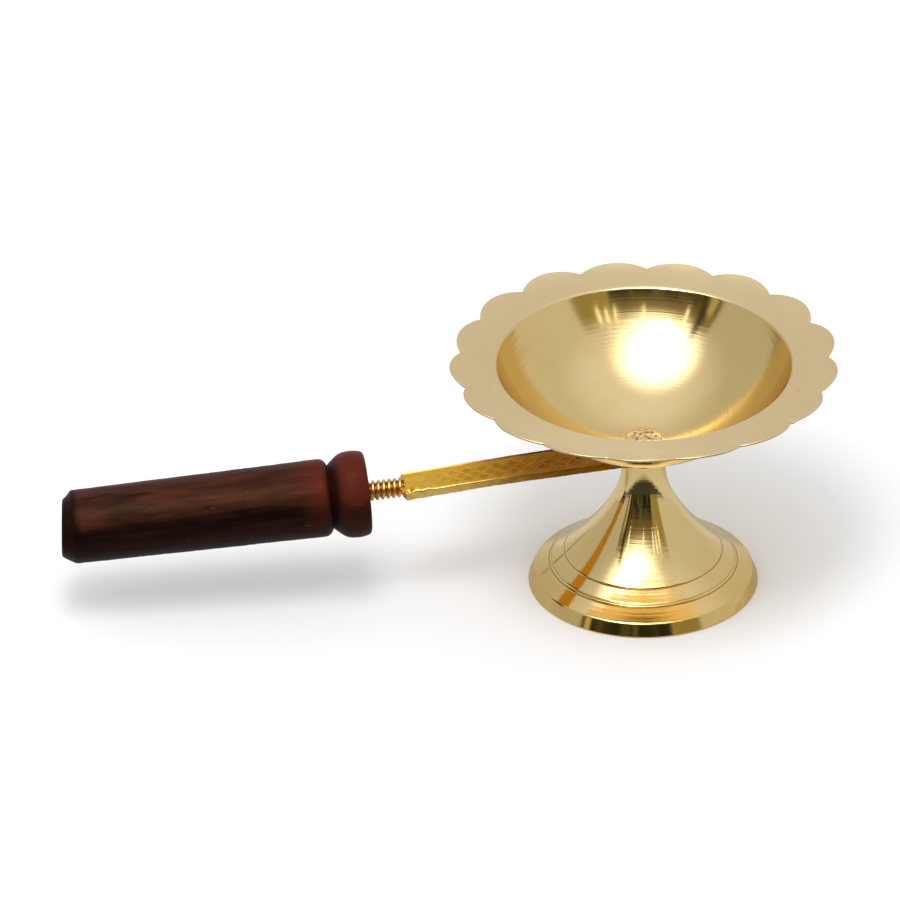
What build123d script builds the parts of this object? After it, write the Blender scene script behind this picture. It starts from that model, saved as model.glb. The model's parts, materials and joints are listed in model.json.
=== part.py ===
from build123d import *

import math
import os

os.makedirs("parts", exist_ok=True)

# An aarti lamp. A scalloped brass oil bowl stands on a hollow flared brass foot. One bolt through
# both also clamps the eye of a flat brass arm, which droops a little outside the clamp, and a turned
# wooden grip screws onto the arm's stud.
# Millimetres, +Z up, origin at the centre of the foot's base, the handle pointing along -X.

# Heights on the bolt's axis, from the table up
foot_height = 37.0
eye_thickness = 1.7
floor_thickness = 2.6
bowl_depth = 23.7

# Bowl
opening_radius = 37.8
rim_valley_radius = 47.6
rim_tip_radius = 50.3
scallop_count = 17
scallop_turn = 8.1
rim_thickness = 0.8
bowl_wall = 0.9
boss_radius = 6.2
head_land_margin = 0.5

# Foot
foot_base_radius = 29.8
foot_edge_radius = 28.3
foot_edge_height = 3.4
base_ring_width = 3.0
neck_radius = 5.8
neck_length = 5.4
neck_blend_radius = 12.0
flare_radius = 56.0
foot_wall = 2.0
outer_groove_radius = 24.1
inner_groove_radius = 20.5
groove_spacing = 0.65
groove_size = 0.25

# Bolt, washer and nut
bolt_radius = 2.5
bolt_head_radius = 4.8
bolt_head_height = 1.35
bolt_head_crown = 0.35
bolt_head_round = 0.5
bolt_pitch = 0.8
bolt_thread_depth = 0.45
bolt_thread_runout = 2.0
bolt_tail = 2.0
hole_clearance = 0.1
washer_radius = 5.0
washer_thickness = 1.0
washer_room = 1.4
nut_flats = 8.0
nut_thickness = 4.0
nut_chamfer = 0.35
nut_sides = 6

# Arm
arm_length = 62.2
arm_droop = 6.1
arm_eye_radius = 5.7
arm_straight_reach = 12.0
arm_waist_reach = 40.0
arm_waist_width = 10.2
arm_end_width = 10.4
arm_end_thickness = 2.5
arm_end_bevel = 0.45
clamp_reach = 7.5
swivel_clearance = 0.06

# Lattice on the arm's top face
lattice_inner_margin = 7.0
lattice_outer_margin = 8.5
lattice_pitch = 3.9
lattice_row = 1.95
lattice_shift = 0.8
lattice_ridge = 0.7
lattice_depth = 0.3

# Threaded stud
stud_radius = 2.6
stud_droop = 3.8
stud_thread_depth = 0.75
stud_pitch = 1.4
stud_exposed = 9.6
stud_engagement = 20.0
stud_tip_length = 1.0
tongue_length = 6.0
tongue_width = 3.2
tongue_thickness = 1.1
braze_clearance = 0.05

# Turned wooden grip and the bush in it
grip_length = 79.0
bead_length = 9.8
bead_radius = 11.25
bead_crown_reach = 3.8
bead_edge_radius = 10.6
bead_edge_round = 1.0
bead_flank = 3.0
bead_flank_radius = 10.8
bead_flank_round = 2.0
grip_groove_radius = 8.15
barrel_round = 2.4
barrel_front_radius = 10.1
barrel_rear_radius = 9.5
rear_bevel = 3.0
rear_face_radius = 7.3
rear_round = 0.8
bush_radius = 4.0
bush_length = 18.0
bush_recess = 0.3
running_clearance = 0.06
tip_clearance = 1.5

# Section of every thread ridge, as shares of its pitch, and of its depth for the sunken root
thread_root_share = 0.78
thread_crest_share = 0.18
thread_sink_share = 0.15

# Heights that follow from the stack
arm_top = foot_height + eye_thickness
floor_height = arm_top + floor_thickness
rim_top = floor_height + bowl_depth
arm_drop = (arm_length - clamp_reach) * math.tan(math.radians(arm_droop))
stud_height = foot_height + eye_thickness / 2 - arm_drop

# The bowl's inside is a spherical cap through the opening and the floor
bowl_sphere = (opening_radius**2 + bowl_depth**2) / (2 * bowl_depth)
bowl_centre = floor_height + bowl_sphere


def sphere_point(radius, shell_radius):
    """Point of the bowl's profile at a distance from the axis, on a sphere about the bowl's centre."""
    return (radius, bowl_centre - math.sqrt(shell_radius**2 - radius**2))


def sphere_arc(start_radius, end_radius, shell_radius):
    """Arc of the bowl's profile between two distances from the axis."""
    radii = (start_radius, (start_radius + end_radius) / 2, end_radius)
    return ThreePointArc(*[sphere_point(radius, shell_radius) for radius in radii])


def polar(radius, angle):
    """Point in plan at a radius and an angle in degrees."""
    return (radius * math.cos(math.radians(angle)), radius * math.sin(math.radians(angle)))


def round_corner(sketch, corner, radius):
    """Round the corner of a sketch that lies at a point of its own plane."""
    fillet(sketch.vertices().sort_by_distance(Vector(*corner))[0], radius)


def thread_ridge(base, axis, core_radius, depth, pitch, length):
    """One helical thread ridge wound from base along axis, its root sunk into the core."""
    root_sink = thread_sink_share * depth
    root_half = thread_root_share * pitch / 2
    crest_half = thread_crest_share * pitch / 2
    with BuildPart() as ridge:
        with BuildLine() as spiral:
            Helix(pitch, length, core_radius, center=base, direction=axis)
        start = spiral.line @ 0
        with BuildSketch(Plane(start, x_dir=start - Vector(base), z_dir=spiral.line % 0)):
            with BuildLine():
                Polyline(
                    (-root_sink, -root_half),
                    (depth, -crest_half),
                    (depth, crest_half),
                    (-root_sink, root_half),
                    close=True,
                )
            make_face()
        sweep(path=spiral.line, is_frenet=True)
    return ridge.part


# Bowl: a spherical shell on a flat boss, with a flat scalloped rim
shell_sphere = bowl_sphere + bowl_wall
shell_top_radius = math.sqrt(shell_sphere**2 - (bowl_centre - rim_top) ** 2)
land_radius = bolt_head_radius + head_land_margin
land_height = sphere_point(land_radius, bowl_sphere)[1]
scallop_angle = 360 / scallop_count
valley_angles = [180 + scallop_turn + scallop_angle * i for i in range(scallop_count)]

with BuildPart() as bowl:
    with BuildSketch(Plane.XZ):
        with BuildLine():
            boss_side = Line((boss_radius, arm_top), sphere_point(boss_radius, shell_sphere))
            sphere_arc(boss_radius, shell_top_radius, shell_sphere)
            Line((shell_top_radius, rim_top), (opening_radius, rim_top))
            sphere_arc(opening_radius, land_radius, bowl_sphere)
            Polyline((land_radius, land_height), (0, land_height), (0, arm_top), boss_side @ 0)
        make_face()
    revolve(axis=Axis.Z)
    with BuildSketch(Plane.XY.offset(rim_top)):
        with BuildLine():
            for valley in valley_angles:
                ThreePointArc(
                    polar(rim_valley_radius, valley),
                    polar(rim_tip_radius, valley + scallop_angle / 2),
                    polar(rim_valley_radius, valley + scallop_angle),
                )
        make_face()
        Circle(opening_radius, mode=Mode.SUBTRACT)
    extrude(amount=-rim_thickness)
    with Locations((0, 0, land_height)):
        Hole(bolt_radius + hole_clearance)
bowl.part.label = "bowl"
export_step(bowl.part, "parts/bowl.step")

# Foot: a neck flaring along one large arc to a bevelled base, hollow below, with turned lines
flare_top = Vector(neck_radius, foot_height - neck_length)
flare_edge = Vector(foot_edge_radius, foot_edge_height)
flare_chord = flare_edge - flare_top
flare_rise = math.sqrt(flare_radius**2 - (flare_chord.length / 2) ** 2)
flare_normal = Vector(-flare_chord.Y, flare_chord.X).normalized()
flare_centre = (flare_top + flare_edge) / 2 + flare_normal * flare_rise


def flare_point(radius, depth):
    """Point of the foot's profile at a distance from the axis, a depth below the flare's surface."""
    reach = flare_centre.X - radius
    return (radius, flare_centre.Y - math.sqrt((flare_radius + depth) ** 2 - reach**2))


seat_radius = washer_radius + washer_room
seat_height = flare_point(seat_radius, foot_wall)[1]
cavity_radius = foot_base_radius - base_ring_width
cavity_radii = (cavity_radius, (cavity_radius + seat_radius) / 2, seat_radius)
groove_radii = (
    outer_groove_radius + groove_spacing / 2,
    outer_groove_radius - groove_spacing / 2,
    inner_groove_radius,
)

with BuildPart() as foot:
    with BuildSketch(Plane.XZ) as foot_profile:
        with BuildLine():
            Polyline((0, 0), (0, foot_height), (neck_radius, foot_height), flare_top)
            flare_middle = (neck_radius + foot_edge_radius) / 2
            ThreePointArc(flare_top, flare_point(flare_middle, 0), flare_edge)
            Polyline(flare_edge, (foot_base_radius, 0), (0, 0))
        make_face()
        round_corner(foot_profile, flare_top, neck_blend_radius)
    revolve(axis=Axis.Z)
    with BuildSketch(Plane.XZ):
        with BuildLine():
            ThreePointArc(*[flare_point(radius, foot_wall) for radius in cavity_radii])
            Polyline((seat_radius, seat_height), (0, seat_height), (0, 0), (cavity_radius, 0))
            Line((cavity_radius, 0), flare_point(cavity_radius, foot_wall))
        make_face()
    revolve(axis=Axis.Z, mode=Mode.SUBTRACT)
    with BuildSketch(Plane.XZ):
        with Locations(*[flare_point(radius, 0) for radius in groove_radii]):
            Circle(groove_size)
    revolve(axis=Axis.Z, mode=Mode.SUBTRACT)
    with Locations((0, 0, foot_height)):
        Hole(bolt_radius + hole_clearance)
foot.part.label = "foot"
export_step(foot.part, "parts/foot.step")

# Bolt: a low crowned head on the bowl's floor, a plain shank and a threaded end inside the foot
nut_bottom = seat_height - washer_thickness - nut_thickness
bolt_end = nut_bottom - bolt_tail
bolt_thread_top = seat_height + bolt_thread_runout
bolt_core_radius = bolt_radius - bolt_thread_depth
bolt_thread_length = bolt_thread_top - bolt_end - 2 * bolt_pitch
bolt_ridge = thread_ridge(
    (0, 0, bolt_end + bolt_pitch),
    (0, 0, 1),
    bolt_core_radius,
    bolt_thread_depth,
    bolt_pitch,
    bolt_thread_length,
)
head_edge_height = land_height + bolt_head_height

with BuildPart() as bowl_bolt:
    with BuildSketch(Plane.XZ) as bolt_profile:
        with BuildLine():
            Polyline(
                (0, bolt_end),
                (bolt_core_radius, bolt_end),
                (bolt_core_radius, bolt_thread_top),
                (bolt_radius, bolt_thread_top),
                (bolt_radius, land_height),
                (bolt_head_radius, land_height),
                (bolt_head_radius, head_edge_height),
            )
            crown_top = (0, head_edge_height + bolt_head_crown)
            TangentArc(crown_top, (bolt_head_radius, head_edge_height), tangent=(1, 0))
            Line(crown_top, (0, bolt_end))
        make_face()
        round_corner(bolt_profile, (bolt_head_radius, head_edge_height), bolt_head_round)
    revolve(axis=Axis.Z)
    add(bolt_ridge)
bowl_bolt.part.label = "bowl_bolt"
export_step(bowl_bolt.part, "parts/bowl_bolt.step")

with BuildPart() as bolt_washer:
    with BuildSketch(Plane.XY.offset(seat_height)):
        Circle(washer_radius)
        Circle(bolt_radius + hole_clearance, mode=Mode.SUBTRACT)
    extrude(amount=-washer_thickness)
bolt_washer.part.label = "bolt_washer"
export_step(bolt_washer.part, "parts/bolt_washer.step")

# Nut: a hexagon whose corners are turned off in a cone at both faces
nut_corner_radius = nut_flats / 2 / math.cos(math.pi / nut_sides)
nut_top = nut_bottom + nut_thickness

with BuildPart() as bolt_nut:
    with BuildSketch(Plane.XY.offset(nut_bottom)):
        RegularPolygon(nut_flats / 2, nut_sides, major_radius=False)
    extrude(amount=nut_thickness)
    with BuildSketch(Plane.XZ):
        with BuildLine():
            Polyline(
                (0, nut_bottom),
                (nut_flats / 2, nut_bottom),
                (nut_corner_radius, nut_bottom + nut_chamfer),
                (nut_corner_radius, nut_top - nut_chamfer),
                (nut_flats / 2, nut_top),
                (0, nut_top),
                close=True,
            )
        make_face()
    revolve(axis=Axis.Z, mode=Mode.INTERSECT)
    with Locations((0, 0, nut_top)):
        Hole(bolt_radius + running_clearance)
bolt_nut.part.label = "bolt_nut"
export_step(bolt_nut.part, "parts/bolt_nut.step")

# Stud axis: from the middle of the arm's end, drooping less than the arm does
stud_base = Vector(-arm_length, 0, stud_height)
stud_way = Vector(-1, 0, 0).rotate(Axis.Y, -stud_droop)
stud_up = Vector(0, 0, 1).rotate(Axis.Y, -stud_droop)
arm_end = Plane(stud_base, x_dir=(0, 1, 0), z_dir=-stud_way)

# Arm: a flat eye under the bowl, then a bar bent down, thicker and narrower towards its outer end
arm_end_top = stud_base + stud_up * (arm_end_thickness / 2)
arm_end_bottom = stud_base - stud_up * (arm_end_thickness / 2)
bend_top = Vector(-clamp_reach, 0, arm_top)
slope_way = arm_end_top - bend_top
arm_slope = Plane(bend_top, x_dir=slope_way, z_dir=slope_way.cross(Vector(0, -1, 0)))
lattice_columns = int((slope_way.length - lattice_inner_margin - lattice_outer_margin) / lattice_pitch)
lozenges = [
    (
        lattice_inner_margin + lattice_pitch * (column + 0.5 * (row % 2) + 0.5),
        lattice_row * row + lattice_shift,
    )
    for row in (-1, 0, 1)
    for column in range(lattice_columns)
]
cell_half_length = lattice_pitch / 2
cell_half_width = lattice_row
cell_inradius = cell_half_length * cell_half_width / math.hypot(cell_half_length, cell_half_width)
lozenge_share = 1 - lattice_ridge / 2 / cell_inradius
lozenge_half_length = cell_half_length * lozenge_share
lozenge_half_width = cell_half_width * lozenge_share

with BuildPart() as handle_arm:
    with BuildSketch(Plane.XY.offset(arm_end_bottom.Z)):
        with BuildLine():
            CenterArc((0, 0), arm_eye_radius, 0, 90)
            shoulder = (-arm_straight_reach, arm_eye_radius)
            waist = (-arm_waist_reach, arm_waist_width / 2)
            Line((0, arm_eye_radius), shoulder)
            TangentArc(shoulder, waist, tangent=(-1, 0))
            plan_end = -arm_length - arm_end_thickness
            Polyline(waist, (plan_end, arm_end_width / 2), (plan_end, 0))
            mirror(about=Plane.XZ)
        make_face()
    extrude(amount=arm_top - arm_end_bottom.Z)
    with BuildSketch(Plane.XZ):
        with BuildLine():
            Polyline(
                (arm_eye_radius, foot_height),
                (arm_eye_radius, arm_top),
                (-clamp_reach, arm_top),
                (arm_end_top.X, arm_end_top.Z),
                (arm_end_bottom.X, arm_end_bottom.Z),
                (-clamp_reach, foot_height),
                close=True,
            )
        make_face()
    extrude(amount=arm_eye_radius, both=True, mode=Mode.INTERSECT)
    chamfer(handle_arm.faces().sort_by(Axis.X)[0].edges(), arm_end_bevel)
    with BuildSketch(arm_slope):
        with Locations(*lozenges):
            Polygon(
                (lozenge_half_length, 0),
                (0, lozenge_half_width),
                (-lozenge_half_length, 0),
                (0, -lozenge_half_width),
            )
    extrude(amount=-lattice_depth, mode=Mode.SUBTRACT)
    with BuildSketch(arm_end):
        Rectangle(tongue_width + 2 * braze_clearance, tongue_thickness + 2 * braze_clearance)
    extrude(amount=tongue_length + braze_clearance, mode=Mode.SUBTRACT)
    with Locations((0, 0, arm_top)):
        Hole(bolt_radius + swivel_clearance)
handle_arm.part.label = "handle_arm"
export_step(handle_arm.part, "parts/handle_arm.step")

# Stud: a coarse helical thread on a round core, with a flat tongue brazed into the arm's end
stud_axis = Plane(stud_base, x_dir=(0, 1, 0), z_dir=stud_way)
stud_core_radius = stud_radius - stud_thread_depth
stud_length = stud_exposed + stud_engagement
stud_ridge = thread_ridge(
    stud_base + stud_way * (stud_pitch / 2),
    stud_way,
    stud_core_radius,
    stud_thread_depth,
    stud_pitch,
    stud_length - stud_pitch - stud_tip_length,
)

with BuildPart() as handle_stud:
    with BuildSketch(stud_axis):
        Circle(stud_core_radius)
    extrude(amount=stud_length)
    chamfer(handle_stud.faces().sort_by(Axis.X)[0].edges(), stud_tip_length / 2)
    with BuildSketch(arm_end):
        Rectangle(tongue_width, tongue_thickness)
    extrude(amount=tongue_length)
    add(stud_ridge)
handle_stud.part.label = "handle_stud"
export_step(handle_stud.part, "parts/handle_stud.step")

# Grip: one turned piece with a bead, a groove and a tapered barrel, its profile from front to rear
grip_plane = Plane(stud_base + stud_way * stud_exposed, x_dir=stud_way, z_dir=(0, 1, 0))
grip_axis = Axis(grip_plane.origin, grip_plane.x_dir)
bush_bore_radius = stud_radius + running_clearance
bush_socket_radius = bush_radius + running_clearance
tip_bore_depth = stud_length + tip_clearance
bead_edge = (0, bead_edge_radius)
flank_start = (bead_length - bead_flank, bead_flank_radius)
barrel_front = (bead_length + barrel_round, barrel_front_radius)
barrel_rear = (grip_length - rear_bevel, barrel_rear_radius)
rear_edge = (grip_length, rear_face_radius)

with BuildPart() as handle_grip:
    with BuildSketch(grip_plane) as grip_profile:
        with BuildLine():
            Polyline(
                (tip_bore_depth, 0),
                (tip_bore_depth, bush_bore_radius),
                (bush_length, bush_bore_radius),
                (bush_length, bush_socket_radius),
                (0, bush_socket_radius),
                bead_edge,
            )
            ThreePointArc(bead_edge, (bead_crown_reach, bead_radius), flank_start)
            Line(flank_start, (bead_length, grip_groove_radius))
            TangentArc(
                barrel_front,
                (bead_length, grip_groove_radius),
                tangent=Vector(*barrel_front) - Vector(*barrel_rear),
            )
            Polyline(barrel_front, barrel_rear, rear_edge, (grip_length, 0), (tip_bore_depth, 0))
        make_face()
        round_corner(grip_profile, bead_edge, bead_edge_round)
        round_corner(grip_profile, flank_start, bead_flank_round)
        round_corner(grip_profile, barrel_rear, rear_round)
        round_corner(grip_profile, rear_edge, rear_round)
    revolve(axis=grip_axis)
handle_grip.part.label = "handle_grip"
export_step(handle_grip.part, "parts/handle_grip.step")

with BuildPart() as handle_bush:
    with BuildSketch(grip_plane):
        with BuildLine():
            Polyline(
                (bush_recess, bush_bore_radius),
                (bush_length, bush_bore_radius),
                (bush_length, bush_radius),
                (bush_recess, bush_radius),
                close=True,
            )
        make_face()
    revolve(axis=grip_axis)
handle_bush.part.label = "handle_bush"
export_step(handle_bush.part, "parts/handle_bush.step")
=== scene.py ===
import json
import math

import bmesh
import bpy
import numpy as np
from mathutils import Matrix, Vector


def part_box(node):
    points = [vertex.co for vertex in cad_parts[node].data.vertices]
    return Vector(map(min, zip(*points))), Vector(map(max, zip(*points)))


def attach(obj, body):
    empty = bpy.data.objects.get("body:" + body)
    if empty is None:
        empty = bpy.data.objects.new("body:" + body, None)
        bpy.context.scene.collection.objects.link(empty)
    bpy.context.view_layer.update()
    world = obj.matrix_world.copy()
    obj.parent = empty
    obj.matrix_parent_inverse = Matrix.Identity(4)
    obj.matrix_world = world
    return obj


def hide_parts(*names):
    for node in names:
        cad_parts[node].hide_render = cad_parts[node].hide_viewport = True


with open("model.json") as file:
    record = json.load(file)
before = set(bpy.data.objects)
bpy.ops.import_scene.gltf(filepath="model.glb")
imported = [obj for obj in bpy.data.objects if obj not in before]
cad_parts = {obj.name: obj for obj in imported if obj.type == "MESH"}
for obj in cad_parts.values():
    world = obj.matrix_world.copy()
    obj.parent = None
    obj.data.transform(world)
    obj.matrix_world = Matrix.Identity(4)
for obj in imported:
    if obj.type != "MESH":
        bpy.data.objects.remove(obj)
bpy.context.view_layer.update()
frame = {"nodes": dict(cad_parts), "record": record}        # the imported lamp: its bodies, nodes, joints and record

# Places and sizes in metres, read from the frame where a node gives them
MM = 0.001
weld_distance = 1e-7
bowl_low, bowl_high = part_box("bowl")
foot_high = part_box("foot")[1]
arm_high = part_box("handle_arm")[1]
bolt_low, bolt_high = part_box("bowl_bolt")
washer_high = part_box("bolt_washer")[1]

rim_top = bowl_high.z
boss_base = bowl_low.z
neck_top = foot_high.z
bolt_hole_radius = 2.6 * MM

# Bowl
bowl_depth = 23.7 * MM
opening_radius = 38.2 * MM
rim_valley_radius = 47.6 * MM
rim_tip_radius = 50.3 * MM
scallop_count = 17
scallop_turn = math.radians(8.1)
scallop_unevenness = 0.22 * MM
scallop_lift = 0.7 * MM
scallop_lift_power = 5
points_per_scallop = 34
flat_side_angle = math.radians(-96.6)
flat_side_reach = math.radians(36)
flat_side_depth = 0.62
flat_side_growth = 0.68 * MM
flat_side_lift = 1.35 * MM
burr_angle = math.radians(-44.1)
burr_width = math.radians(0.7)
burr_length = 0.45 * MM
burr_power = 8
rim_thickness = 0.6 * MM
bowl_wall = 0.55 * MM
boss_radius = 6.2 * MM
head_land_radius = 5.3 * MM
lip_round = 0.5 * MM
rim_edge_round = 0.28 * MM
rim_root_round = 1.0 * MM
boss_top_round = 0.5 * MM
boss_edge_round = 0.25 * MM
satin_before_lip = 0.3 * MM
satin_past_lip = 0.6 * MM

# Foot
foot_radius = foot_high.x
foot_edge_radius = 28.3 * MM
foot_edge_height = 3.4 * MM
base_ring_width = 3.0 * MM
neck_radius = 5.6 * MM
neck_length = 6.6 * MM
flare_radius = 56.0 * MM
foot_wall = 2.0 * MM
washer_seat_radius = 6.4 * MM
groove_radii = (24.425 * MM, 23.775 * MM, 20.5 * MM)
groove_shares = (1.0, 0.6, 0.9)
groove_width = 0.15 * MM
groove_depth = 0.14 * MM
nick_angle = math.radians(-39.0)
nick_width = math.radians(1.2)
nick_depth = 0.35 * MM
nick_reach = 1.0 * MM
nick_low = 0.2 * MM
neck_round = 0.3 * MM
flare_top_round = 5.0 * MM
foot_edge_round = 0.35 * MM
base_edge_round = 0.4 * MM
base_ring_round = 0.3 * MM
hollow_edge_round = 0.8 * MM
washer_seat_round = 0.5 * MM

# Handle axis: from the joint that the grip turns on
grip_joint = next(j for j in frame["record"]["behaviour"]["joints"] if j["name"] == "handle_turn")
grip_front = np.array(grip_joint["pos_m"], float)
handle_way = np.array(grip_joint["axis"], float)
handle_side = np.array([0.0, 1.0, 0.0])
handle_up = np.cross(handle_side, handle_way)

# Arm and its lattice
arm_eye_radius = arm_high.x
arm_end_thickness = 2.5 * MM
arm_straight_reach = 12.0 * MM
arm_waist_reach = 40.0 * MM
arm_waist_half = 5.15 * MM
arm_end_half = 5.2 * MM
arm_bow = 0.42 * MM
arm_bevel = 0.5 * MM
arm_bevel_width = 1.7 * MM
arm_edge_round = 0.28 * MM
arm_skin_height = 0.05 * MM
arm_skin_height_at_end = 0.10 * MM
arm_skin_grain = 1.7 * MM
arm_fine_skin_height = 0.035 * MM
arm_fine_skin_grain = 0.6 * MM
arm_rough_end = (10 * MM, 2 * MM)
arm_square_end = 6 * MM
arm_skin_share_on_sides = 0.7
# Share of painted light on the arm's end face.
arm_end_light = 0.6
# Lumps of braze at the arm's end: x, y, size and height in mm
braze_lumps_mm = ((-59.4, -3.7, 1.5, 0.6), (-56.6, -4.3, 0.9, 0.4), (-61.2, -4.3, 0.7, -0.7))
# The arm's end as it closes on the stud: share of its size, and reach in mm
arm_end_steps = ((1, 0), (0.93, 0.10), (0.80, 0.45), (0.62, 0.85), (0.5, 0.92), (0, 0.92))
clamp_fade = 3 * MM
clamp_reach = 7.5 * MM
lattice_inner_margin = 7.0 * MM
lattice_outer_margin = 8.5 * MM
lattice_pitch = 3.9 * MM
lattice_row = 1.95 * MM
lattice_shift = 0.8 * MM
lattice_ridge = 0.7 * MM
lattice_depth = 0.3 * MM
lattice_slope = (0.10, 0.06)
lattice_wear = 0.75
lattice_worn_reach = (44 * MM, 55 * MM)
lattice_unevenness = 0.25
lattice_grain = 2.3 * MM

# Stud
stud_exposed = 9.6 * MM
stud_length = 35.7 * MM
stud_radius = 2.6 * MM
stud_thread_depth = 0.75 * MM
stud_pitch = 1.4 * MM
stud_tooth = (1.28, 2.6)
stud_wear = 0.05
stud_wear_grain = 1.3 * MM
stud_runout = (1.6 * MM, 0.2 * MM)
stud_tip_length = 0.7 * MM
stud_tip_drop = 0.5 * MM
stud_base = grip_front - handle_way * stud_exposed

# Grip
grip_length = 79.5 * MM
grip_sag = 0.4 * MM
bead_length = 9.8 * MM
bead_radius = 11.25 * MM
bead_crown_reach = 3.8 * MM
bead_edge_radius = 10.6 * MM
bead_flank = 3.0 * MM
bead_flank_radius = 10.8 * MM
grip_groove_radius = 8.15 * MM
barrel_round = 2.4 * MM
barrel_front_radius = 10.1 * MM
barrel_rear_radius = 9.5 * MM
rear_bevel = 3.0 * MM
rear_face_radius = 7.3 * MM
rear_slope_up = 0.0665
rear_slope_side = 0.116
bush_socket_radius = 4.06 * MM
bush_length = 18.0 * MM
stud_bore_radius = 2.66 * MM
stud_bore_depth = stud_length + 0.5 * MM
bead_edge_round = 1.15 * MM
bead_flank_round = 1.6 * MM
grip_groove_round = 0.25 * MM
barrel_rear_round = 0.6 * MM
rear_edge_round = 0.5 * MM
barrel_shoulder_bend = 0.78
rear_saw_reach = 1.4 * rear_bevel
grip_outside_radius = 8.8 * MM
ripple_radius = 10 * MM
wood_ripple = (0.05 * MM, 5 * MM)      # height and length
chatter_ripple = (0.03 * MM, 1.1 * MM)

# Bolt
bolt_head_radius = bolt_high.x
bolt_head_crown = 0.35 * MM
bolt_shank_radius = 2.5 * MM
bolt_pitch = 0.8 * MM
bolt_thread_depth = 0.45 * MM
bolt_thread_runout = 2.0 * MM
bolt_tooth = (1.25, 2.5)
bolt_head_round = 0.5 * MM
bolt_crown_start = (0.2 * MM, 0.05 * MM)
bolt_beaten_shares = (0.62, 0.84)
bolt_blow_count = 44
bolt_blow_share = 0.74
bolt_blow_size = 0.36 * MM
bolt_blow_depth = 0.16 * MM

# Camera, fitted to the rim's ellipse, its scallops and the handle
camera_azimuth = -6.6
camera_elevation = 31.2
camera_distance = 7.0
camera_target = Vector((-49.68, 5.75, 38.79)) * MM
camera_lens = 1084.4
camera_sensor = 36.0
camera_clip_end = 50.0


# Profiles and surfaces

def run(start, end, count):
    """Points evenly spaced on the straight line from start to end."""
    share = np.linspace(0.0, 1.0, count)[:, None]
    return np.asarray(start, float) * (1 - share) + np.asarray(end, float) * share


def arc_between(start, end, radius, count):
    """Points on the circular arc of a radius from start to end that bends to the left of that way
    for a positive radius: centre = middle of the chord + its left normal times the rise."""
    start, end = np.asarray(start, float), np.asarray(end, float)
    chord = end - start
    length = np.hypot(*chord)
    rise = math.copysign(math.sqrt(radius**2 - length**2 / 4), radius)
    centre = (start + end) / 2 + np.array([-chord[1], chord[0]]) / length * rise
    first = math.atan2(*(start - centre)[::-1])
    last = math.atan2(*(end - centre)[::-1])
    sweep = (last - first + math.pi) % (2 * math.pi) - math.pi
    angle = first + sweep * np.linspace(0.0, 1.0, count)
    return centre + abs(radius) * np.stack([np.cos(angle), np.sin(angle)], 1)


def arc_through(start, middle, end, count):
    """Points on the circular arc from start through middle to end; its radius is the product of the
    triangle's sides divided by four times its area."""
    a, b, c = (np.asarray(p, float) for p in (start, middle, end))
    turn = (b - a)[0] * (c - a)[1] - (b - a)[1] * (c - a)[0]
    radius = np.hypot(*(b - a)) * np.hypot(*(c - b)) * np.hypot(*(c - a)) / (2 * turn)
    return arc_between(start, end, radius, count)


def join(*stretches):
    """One profile from several stretches, without the points that repeat where they meet."""
    profile = np.concatenate(stretches)
    gap = np.hypot(*np.diff(profile[:, :2], axis=0).T)
    return profile[np.concatenate([[True], gap > weld_distance])]


def lengths(profile):
    """Distance along a profile from its first point to each point."""
    return np.concatenate([[0], np.cumsum(np.hypot(*np.diff(profile[:, :2], axis=0).T))])


def ease(profile, corner, reach, count=7):
    """Round a profile's corner: the stretch within reach of it, along the profile, becomes the
    parabola (1-t)^2 a + 2t(1-t) corner + t^2 b."""
    along = lengths(profile)
    nearest = np.argmin(np.hypot(*(profile[:, :2] - np.asarray(corner)[:2]).T))
    ends = np.stack([np.interp(along[nearest] + side * reach, along, column)
                     for side in (-1, 1) for column in profile.T]).reshape(2, -1)
    t = np.linspace(0.0, 1.0, count)[:, None]
    curve = (1 - t)**2 * ends[0] + 2 * t * (1 - t) * profile[nearest] + t**2 * ends[1]
    before = profile[along < along[nearest] - reach]
    after = profile[along > along[nearest] + reach]
    return join(before, curve, after)


def bumps(x, y, size, seed):
    """Smooth uneven height in -1..1 over two coordinates: random values on a square lattice of the
    given size, blended between lattice points by the smooth step 3f^2 - 2f^3. Repeats every 64 cells."""
    table = np.random.default_rng(seed).uniform(-1, 1, (64, 64))
    u, v = np.asarray(x) / size, np.asarray(y) / size
    i, j = np.floor(u).astype(int), np.floor(v).astype(int)
    f, g = u - i, v - j
    f, g = f * f * (3 - 2 * f), g * g * (3 - 2 * g)
    i0, j0, i1, j1 = i % 64, j % 64, (i + 1) % 64, (j + 1) % 64
    near = table[i0, j0] * (1 - f) + table[i1, j0] * f
    far = table[i0, j1] * (1 - f) + table[i1, j1] * f
    return near * (1 - g) + far * g


def smooth_step(low, high, value):
    """0 below low, 1 above high, 3t^2 - 2t^3 between."""
    t = np.clip((value - low) / (high - low), 0, 1)
    return t * t * (3 - 2 * t)


def thread_tooth(phase, crest, slope):
    """A blunt tooth in the middle of a phase of 0..1: crest - slope |phase - 1/2|, kept within 0..1."""
    return np.clip(crest - slope * np.abs(phase - 0.5), 0, 1)


def lump(x, y, centre, size):
    """A round hill of height 1: exp(-(distance / size)^2)."""
    return np.exp(-((x - centre[0])**2 + (y - centre[1])**2) / size**2)


def quads(rows, columns, close_rows, close_columns, first=0):
    """Corner numbers of the quads of a grid of points, row by row."""
    i = np.arange(rows if close_rows else rows - 1)[:, None]
    j = np.arange(columns if close_columns else columns - 1)[None, :]
    i1, j1 = (i + 1) % rows, (j + 1) % columns
    corners = [i * columns + j, i1 * columns + j, i1 * columns + j1, i * columns + j1]
    return np.stack(np.broadcast_arrays(*corners), -1).reshape(-1, 4) + first


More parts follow.
